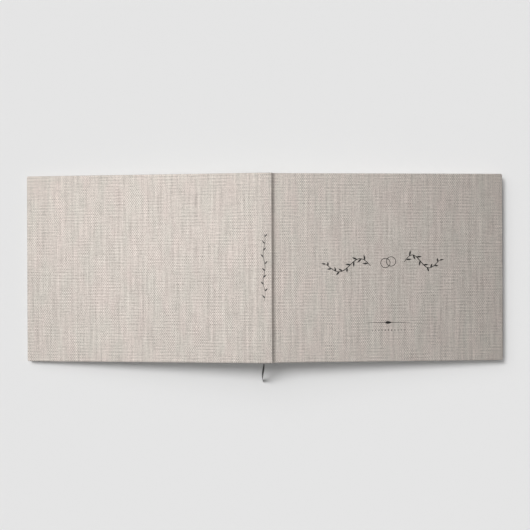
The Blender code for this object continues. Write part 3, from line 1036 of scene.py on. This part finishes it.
class Foil:
    """Collects thin raised shapes on a plane, whose points come from a placing function."""

    def __init__(self, place):
        self.place = place
        self.bm = bmesh.new()
        self.layer = self.bm.loops.layers.uv.new("weave")

    def shape(self, outline):
        """A flat closed shape from its outline on the plane, FOIL high."""
        top = [self.bm.verts.new(self.place(x, y, -FOIL)) for x, y in outline]
        base = [self.bm.verts.new(self.place(x, y, FOIL)) for x, y in outline]
        quad(self.bm, self.layer, top, outline)
        quad(self.bm, self.layer, base[::-1], outline[::-1])
        for i in range(len(outline)):
            j = (i + 1) % len(outline)
            marks = (outline[i], outline[i], outline[j], outline[j])
            quad(self.bm, self.layer, (top[i], base[i], base[j], top[j]), marks)

    def band(self, left, right, closed=False):
        """A raised strip between two lines of points, in one piece."""
        rails = []
        for line, depth in ((left, -FOIL), (right, -FOIL), (right, FOIL), (left, FOIL)):
            rails.append([(self.bm.verts.new(self.place(x, y, depth)), (x, y)) for x, y in line])
        count = len(left)
        cells = []
        for i in range(count if closed else count - 1):
            j = (i + 1) % count
            cells += [(a[i], b[i], b[j], a[j]) for a, b in zip(rails, rails[1:] + rails[:1])]
        if not closed:
            cells += [[rail[i] for rail in rails] for i in (0, count - 1)]
        for cell in cells:
            quad(self.bm, self.layer, [vert for vert, _ in cell], [mark for _, mark in cell])

    def stroke(self, points, width, taper=0.35):
        """A pen stroke along points, which swells from thin ends to its full width."""
        left, right = [], []
        last = len(points) - 1
        for i, (x, y) in enumerate(points):
            ax, ay = points[max(i - 1, 0)]
            bx, by = points[min(i + 1, last)]
            size = math.hypot(bx - ax, by - ay) or 1.0
            nx, ny = -(by - ay) / size, (bx - ax) / size
            half = width / 2 * (taper + (1 - taper) * math.sin(math.pi * i / last) ** 0.6)
            left.append((x + nx * half, y + ny * half))
            right.append((x - nx * half, y - ny * half))
        self.band(left, right)

    def leaf(self, x, y, angle, length, width):
        """A pointed leaf that grows from (x, y)."""
        c, s = math.cos(angle), math.sin(angle)
        shares = [i / FOIL_LEAF_STEPS for i in range(FOIL_LEAF_STEPS + 1)]
        edge = [(length * t, width / 2 * math.sin(math.pi * t**0.8)) for t in shares]
        outline = edge + [(a, -b) for a, b in edge[-2:0:-1]]
        self.shape([(x + a * c - b * s, y + a * s + b * c) for a, b in outline])

    def ring(self, x, y, radius, width):
        """A round line."""
        inner = circle(x, y, radius - width, RING_STEPS)
        self.band(circle(x, y, radius, RING_STEPS), inner, closed=True)

    def dot(self, x, y, radius):
        """A round spot."""
        self.shape(circle(x, y, radius, DOT_STEPS))

    def finish(self, name, shade, body):
        """Makes the collected shapes one piece that rides on a body."""
        bmesh.ops.recalc_face_normals(self.bm, faces=self.bm.faces)
        piece = mesh_object(name, self.bm, shade, 30)
        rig.slot(piece, "black_foil")
        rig.ride(piece, body)


def sprig(work, x, y, length, side, count):
    """A swaying stem with leaves by turns on either side, and one at its tip. side 1 is rightwards."""
    stem = []
    for i in range(SPRIG_STEPS + 1):
        t = i / SPRIG_STEPS
        sway = SPRIG_RISE * math.sin(2.1 * math.pi * t) * (1 - 0.3 * t)
        stem.append((x + side * length * t, y + sway))
    work.stroke(stem, SPRIG_LINE, 0.6)
    for k in range(count):
        t = (k + 0.7) / (count + 0.2)
        i = int(t * SPRIG_STEPS)
        (ax, ay), (bx, by) = stem[i], stem[min(i + 1, SPRIG_STEPS)]
        along = math.atan2(by - ay, bx - ax)
        spread = 0.85 if k % 2 else -0.85
        size = SPRIG_LEAF[0] - SPRIG_LEAF_SHRINK * t
        work.leaf(ax, ay, along + side * spread, size, SPRIG_LEAF[1])
    work.leaf(*stem[-1], math.atan2(SPRIG_RISE, side * length), *SPRIG_TIP)


def front_ornament(shade):
    """Two sprigs with linked rings between them, over a ruled line and a row of dots."""
    origin = FRONT.corner.x + SPINE_X

    def place(x, y, depth):
        return FRONT.on_cover((x - origin) / FRONT.along.x, y, depth)

    work = Foil(place)
    work.ring(ORNAMENT_X - RING_SHIFT, ORNAMENT_Y, RING_RADIUS, RING_LINE)
    work.ring(ORNAMENT_X + RING_SHIFT, ORNAMENT_Y + RING_RISE, RING_RADIUS, RING_LINE)
    for (x, y), length, side, count in SPRIGS:
        sprig(work, ORNAMENT_X + x * MM, ORNAMENT_Y + y * MM, length * MM, side, count)
    shares = [i / RULE_STEPS - 0.5 for i in range(RULE_STEPS + 1)]
    work.stroke([(ORNAMENT_X + share * RULE_LENGTH, RULE_Y) for share in shares], RULE_LINE, 0.2)
    work.leaf(ORNAMENT_X - LOZENGE[0] / 2, RULE_Y, 0.0, *LOZENGE)
    for i in range(-DOTS_EACH_WAY, DOTS_EACH_WAY + 1):
        work.dot(ORNAMENT_X + i * DOT_PITCH, DOTS_Y, DOT_RADIUS - DOT_SHRINK * abs(i))
    work.finish("front_foil", shade, "front_cover")


def spine_ornament(shade):
    """A slender vine up the middle of the spine."""

    def place(x, y, depth):
        return Vector((SPINE_X + x, y, SPINE_TOP - depth))

    work = Foil(place)
    stem = []
    for i in range(VINE_STEPS + 1):
        t = i / VINE_STEPS
        sway = VINE_SWAY * math.sin(2 * VINE_WAVES * math.pi * t)
        stem.append((sway, VINE_LOW + (VINE_HIGH - VINE_LOW) * t))
    work.stroke(stem, VINE_LINE)
    for k in range(VINE_LEAVES):
        x, y = stem[int(VINE_STEPS * (k + 0.5) / VINE_LEAVES)]
        spread = 0.7 if k % 2 else -0.7
        work.leaf(x, y, math.pi / 2 - spread, *VINE_LEAF)
    work.finish("spine_foil", shade, "spine")


# ---------------------------------------------------------------- the set

TABLE_HALF = 4.0
LAMP_PLACE = Vector((-0.265, 0.11, 0.70))
LAMP_AIM = Vector((0.02, 0, 0.02))
LAMP_WIDTH = 0.45
LAMP_POWER = 5.0
SUN_WAY = Vector((0.50, -0.46, -1.0))
SUNS = (("sun", 1.75, 22), ("hazy_sun", 1.35, 75))  # name, strength, width in degrees
ROOM_LIGHT = 0.16
ROOM_SEEN = 0.78
LENS = 66.8
CAMERA_PLACE = Vector((10.4 * MM, 3.2 * MM, 1.122))
CAMERA_TURN = (0, math.radians(0.47), math.radians(-0.23))


def floor_and_markers(shade):
    """A pale table that always lies under the lowest corner of the book.

    The table may never rise above a marker at the far end of either half, so it sinks when a
    half swings down to close the book."""
    bm = bmesh.new()
    bmesh.ops.create_grid(bm, x_segments=8, y_segments=8, size=TABLE_HALF)
    floor = mesh_object("table_top", bm, shade)
    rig.stage(floor)
    tops = [("table", None, Vector((0, 0, 0)))]
    for half in (FRONT, BACK):
        edge = half.opened(Vector((GUTTER[half.name], PAGES_END)))
        tops.append((f"{half.name}_pages", half, half.place(edge)))
        tops.append((f"{half.name}_cover", half, half.on_cover(CLOTH_END, 0, COVER_DEPTH)))
    for body, half, at in tops:
        marker = bpy.data.objects.new(f"lowest_{body}", None)
        bpy.context.scene.collection.objects.link(marker)
        marker.location = at
        if half:
            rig.ride(marker, body)
        limit = floor.constraints.new("FLOOR")
        limit.target = marker
        limit.floor_location = "FLOOR_NEGATIVE_Z"  # the table stays below the marker
    return floor


def light(kind, name, energy, way, receivers):
    """A light that shines this way, on these pieces only."""
    lamp = bpy.data.lights.new(name, kind)
    lamp.energy = energy
    placed = bpy.data.objects.new(name, lamp)
    placed.rotation_euler = way.to_track_quat("-Z", "Y").to_euler()
    placed.light_linking.receiver_collection = receivers
    bpy.context.scene.collection.objects.link(placed)
    return placed


def lights(floor):
    """A large soft lamp over the left of the book, and two wide suns that light the table alike."""
    lit, ground = [bpy.data.collections.new(n) for n in ("lit_by_lamp", "lit_by_sun")]
    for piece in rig.pieces():
        lit.objects.link(piece)
    ground.objects.link(floor)
    lamp = light("AREA", "lamp", LAMP_POWER, LAMP_AIM - LAMP_PLACE, lit)
    lamp.location = LAMP_PLACE
    lamp.data.shape = "DISK"
    lamp.data.size = LAMP_WIDTH
    for name, energy, width in SUNS:
        sun = light("SUN", name, energy, SUN_WAY, ground)
        sun.data.angle = math.radians(width)


def room():
    """Even pale surroundings, which look brighter than they shine."""
    world = bpy.data.worlds.new("room")
    world.use_nodes = True
    seen = world.node_tree.nodes.new("ShaderNodeLightPath").outputs["Is Camera Ray"]
    strength = world.node_tree.nodes.new("ShaderNodeMapRange")
    strength.inputs["To Min"].default_value = ROOM_LIGHT
    strength.inputs["To Max"].default_value = ROOM_SEEN
    world.node_tree.links.new(seen, strength.inputs["Value"])
    background = world.node_tree.nodes["Background"]
    background.inputs["Color"].default_value = (1, 1, 1, 1)
    world.node_tree.links.new(strength.outputs["Result"], background.inputs["Strength"])
    bpy.context.scene.world = world


def camera():
    """Almost straight above the middle of the book."""
    lens = bpy.data.cameras.new("camera")
    lens.sensor_width = 36.0
    lens.lens = LENS
    view = bpy.data.objects.new("camera", lens)
    view.location = CAMERA_PLACE
    view.rotation_euler = CAMERA_TURN
    bpy.context.scene.collection.objects.link(view)
    bpy.context.scene.camera = view


def finish_nodes():
    """Better materials for the CAD nodes that stay, and the paper that the leaves share with them."""
    paper = page_paper("page_paper", (0.84, 0.815, 0.755))
    looks = {
        "board": grey_board(),
        "pastedown": page_paper("endpaper", (0.80, 0.77, 0.70), 0.05),
        "fold": paper,
        "lining": kraft(),
        "mull": cotton("mull_gauze", (0.82, 0.80, 0.74), 0.0009, 0.45),
        "tape": cotton("linen_tape", (0.72, 0.67, 0.58), 0.0004, 0.75),
        "thread": waxed_thread(),
    }
    for name, node in frame["nodes"].items():
        for word, look in looks.items():
            if word in name:
                node.data.materials.clear()
                node.data.materials.append(look)
    return paper


def main():
    """Builds the picture, and every piece of the book in it."""
    bpy.context.scene.view_settings.view_transform = "Standard"
    camera()
    room()
    ribbons(satin())
    cloth = linen()
    paper = finish_nodes()
    spine_cloth(cloth)
    for half in (FRONT, BACK):
        cover_cloth(half, groove_cloth(half, cloth), cloth)
        leaves(half, paper)
    silk = thread_bands()
    end_band("headband", silk)
    end_band("tailband", silk)
    black = foil()
    front_ornament(black)
    spine_ornament(black)
    lights(floor_and_markers(table_top()))


main()
visual_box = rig.bounds()
with open("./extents.json", "w") as out:
    json.dump({"cad": [list(v) for v in cad_box], "visual": [list(v) for v in visual_box]}, out)
